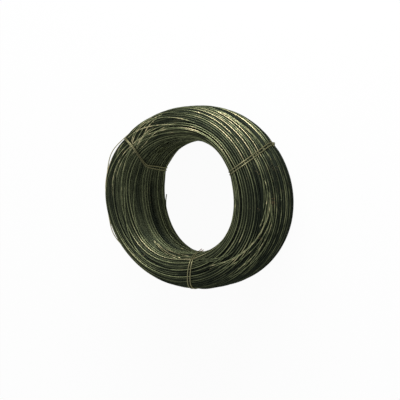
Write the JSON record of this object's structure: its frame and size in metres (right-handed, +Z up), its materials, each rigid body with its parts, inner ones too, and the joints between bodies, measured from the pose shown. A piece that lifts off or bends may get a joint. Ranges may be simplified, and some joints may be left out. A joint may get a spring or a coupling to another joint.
{
  "type": "coil of black annealed wire",
  "caption": "Ring-shaped coil of dark annealed steel wire with a round bore, bound by doubled tie wires, lying flat; stock for tying and binding.",
  "frame": {"origin": "middle of the end that the coil lies on, on its axis", "axes": "+Z up along the coil's axis; +X and +Y lie in the end's plane, +X towards the side that the picture shows"},
  "size_m": [0.29, 0.2905, 0.138],
  "materials": {
    "annealed_wire": "black annealed oxide, oily, with a dull sheen and specks of rust",
    "tie_wire": "black annealed oxide, rubbed brighter where it is pulled tight"
  },
  "bodies": {
    "root": {"wire_coil": "annealed_wire", "tie_right": "tie_wire", "tie_left": "tie_wire", "tie_bottom": "tie_wire"}
  },
  "joints": []
}
